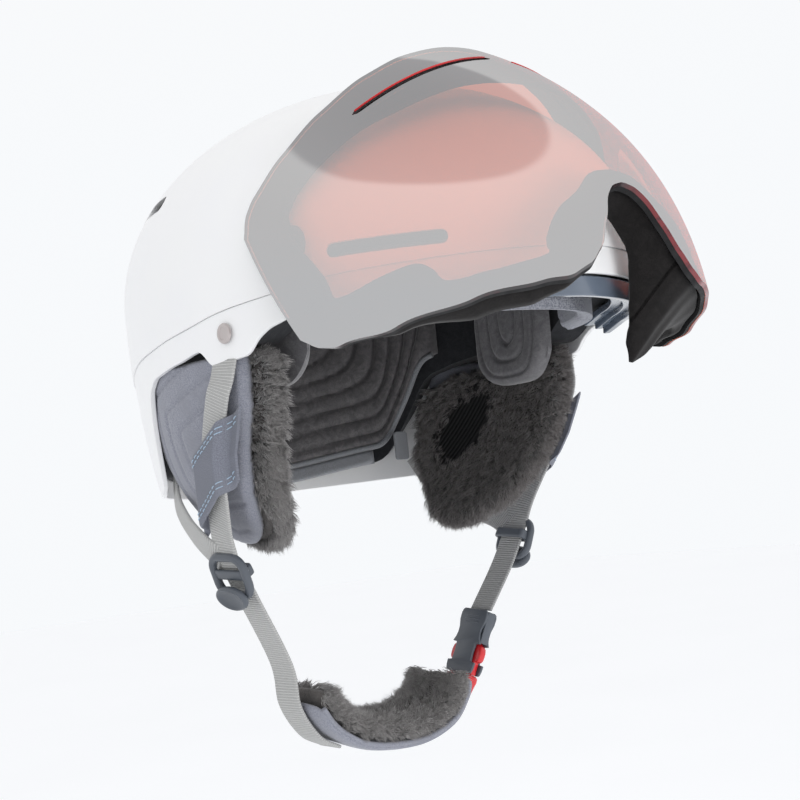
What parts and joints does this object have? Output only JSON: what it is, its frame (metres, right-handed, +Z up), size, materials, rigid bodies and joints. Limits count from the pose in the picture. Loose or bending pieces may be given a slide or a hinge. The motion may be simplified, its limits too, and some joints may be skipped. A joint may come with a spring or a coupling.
{
  "type": "ski helmet",
  "caption": "Ski helmet with a flip-up mirrored visor, padded liner, fleece-lined ear pads and a buckled chin strap with a fleece chin pad.",
  "frame": {"origin": "middle of the head opening, where the wearer's head holds the helmet", "axes": "+Z up, -Y the wearer's front, +X the wearer's left, as worn, with the visor raised and the chin strap buckled"},
  "size_m": [0.2312, 0.2973, 0.3168],
  "materials": {
    "shell_white": "satin white",
    "liner_foam": "moulded foam, matt",
    "velour": "dark velour",
    "knit": "heather grey knit",
    "temple_cloth": "brushed grey cloth",
    "brow_plastic": "glossy blue-grey",
    "trim_grey": "grey binding",
    "label_black": "blank black label",
    "lens_mirror": "rose and silver mirror coating",
    "visor_black": "matt black",
    "foam_black": "brushed black face foam",
    "pivot_steel": "dark steel",
    "pivot_plastic": "dark plastic",
    "ear_cloth": "blue-grey cloth",
    "fleece": "long-pile grey fleece",
    "speaker_mesh": "black ribbed mesh",
    "webbing": "ribbed light-grey webbing",
    "slate_plastic": "slate moulded plastic",
    "red_plastic": "red moulded plastic",
    "rivet": "pinkish-grey satin disc"
  },
  "bodies": {
    "helmet": {"outer_shell": "shell_white", "lower_shell": "shell_white", "shock_liner": "liner_foam", "crown_pad": "velour", "rear_pad": "velour", "nape_trim": "trim_grey", "brow_pad": "knit", "temple_pad_right": "temple_cloth", "temple_pad_left": "temple_cloth", "brow_frame": "brow_plastic", "liner_label": "label_black", "nape_tab": "trim_grey", "visor_pivot_washer_right": "pivot_plastic", "visor_pivot_washer_left": "pivot_plastic", "ear_pad_right": "ear_cloth", "ear_pad_left": "ear_cloth", "ear_lining_right": "fleece", "ear_lining_left": "fleece", "ear_mesh_right": "speaker_mesh", "ear_mesh_left": "speaker_mesh", "ear_strap_loop_right": "ear_cloth", "ear_strap_loop_left": "ear_cloth", "front_strap_right": "webbing", "front_strap_left": "webbing", "rear_strap_right": "webbing", "rear_strap_left": "webbing", "lower_strap_right": "webbing", "lower_strap_left": "webbing", "tongue_strap": "webbing", "strap_rivet_right": "rivet", "strap_rivet_left": "rivet", "buckle_tongue": "red_plastic", "tongue_blade": "red_plastic", "chin_pad": "ear_cloth", "chin_pad_fleece": "fleece"},
    "visor": {"visor_lens": "lens_mirror", "visor_frame": "visor_black", "visor_nose_foam": "foam_black", "visor_face_foam_right": "foam_black", "visor_face_foam_left": "foam_black", "visor_pivot_pin_right": "pivot_steel", "visor_pivot_pin_left": "pivot_steel"},
    "slider_right": {"strap_slider_right": "slate_plastic", "slider_disc_right": "slate_plastic"},
    "slider_left": {"strap_slider_left": "slate_plastic", "slider_disc_left": "slate_plastic"},
    "socket": {"buckle_socket": "slate_plastic"},
    "latch_front": {"latch_arm_front": "red_plastic"},
    "latch_rear": {"latch_arm_rear": "red_plastic"}
  },
  "joints": [
    {"name": "visor_hinge", "type": "hinge", "parent": "helmet", "child": "visor", "pos_m": [0, -0.058, 0.046], "axis": [1, 0, 0], "range_deg": [0, 43.9]},
    {"name": "slider_slide_right", "type": "slide", "parent": "helmet", "child": "slider_right", "axis": [0.497, 0.1, -0.862], "range_m": [0, 0.008]},
    {"name": "slider_slide_left", "type": "slide", "parent": "helmet", "child": "slider_left", "axis": [-0.497, 0.1, -0.862], "range_m": [0, 0.008]},
    {"name": "buckle_release", "type": "slide", "parent": "helmet", "child": "socket", "axis": [0.4197, -0.1199, 0.8997], "range_m": [0, 0.02], "deforming": ["lower_strap_left", "latch_arm_front", "latch_arm_rear"]},
    {"name": "latch_squeeze_front", "type": "slide", "parent": "helmet", "child": "latch_front", "axis": [0.0507, 0.9928, 0.1087], "range_m": [0, 0.0025], "stiffness_N_per_m": 800},
    {"name": "latch_squeeze_rear", "type": "slide", "parent": "helmet", "child": "latch_rear", "axis": [-0.0507, -0.9928, -0.1087], "range_m": [0, 0.0025], "stiffness_N_per_m": 800}
  ],
  "couplings": [
    {"joint": "latch_squeeze_rear", "follows": "latch_squeeze_front", "ratio": 1}
  ]
}
